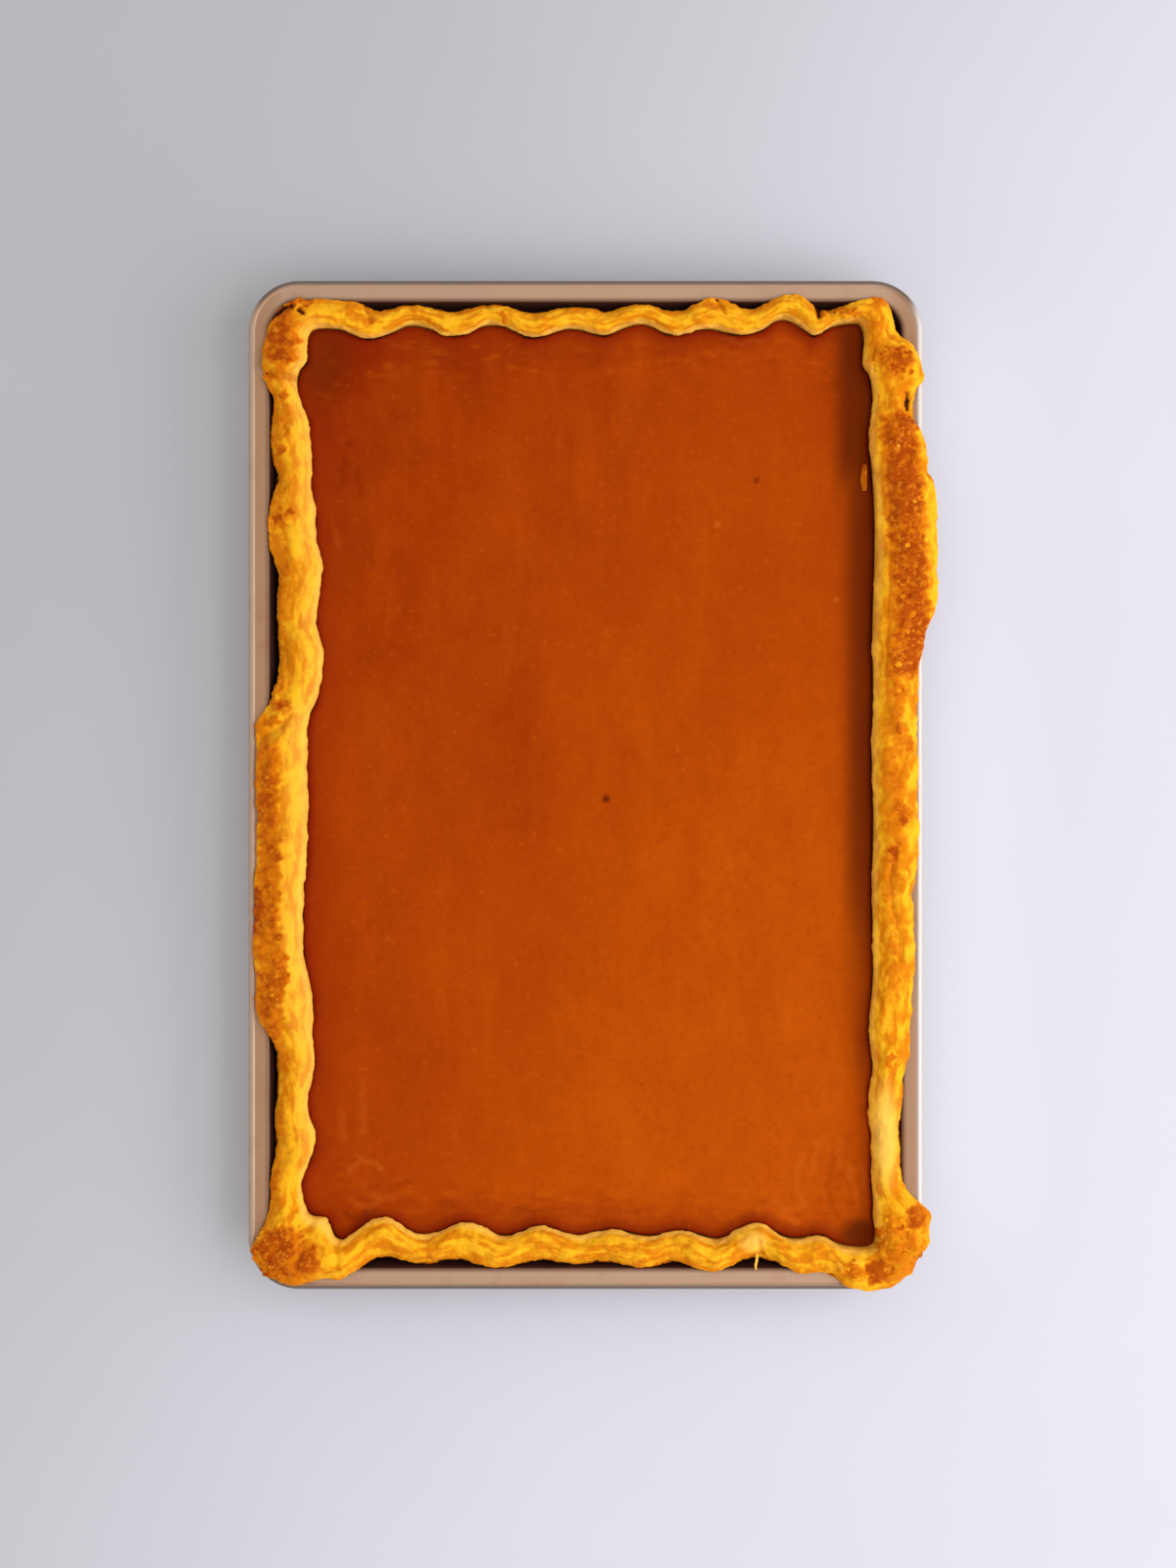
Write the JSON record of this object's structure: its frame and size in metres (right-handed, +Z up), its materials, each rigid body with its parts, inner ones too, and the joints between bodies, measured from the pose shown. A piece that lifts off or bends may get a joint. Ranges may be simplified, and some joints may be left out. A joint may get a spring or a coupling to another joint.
{
  "type": "slab pumpkin pie in its baking pan",
  "caption": "Uncut slab pie: a rectangular pastry crust with a finger-crimped border, filled level with custard, in its rimmed metal baking pan.",
  "frame": {"origin": "centre of the pan's flat underside", "axes": "+X along a short side, to the right; +Y along a long side, to the far short side; +Z up"},
  "size_m": [0.2684, 0.3938, 0.0312],
  "materials": {
    "pan": "satin champagne non-stick coating",
    "crust": "baked pastry, golden with browned patches",
    "filling": "baked pumpkin custard with a satin skin"
  },
  "bodies": {
    "root": {"pan": "pan", "crust": "crust", "filling": "filling"}
  },
  "joints": []
}
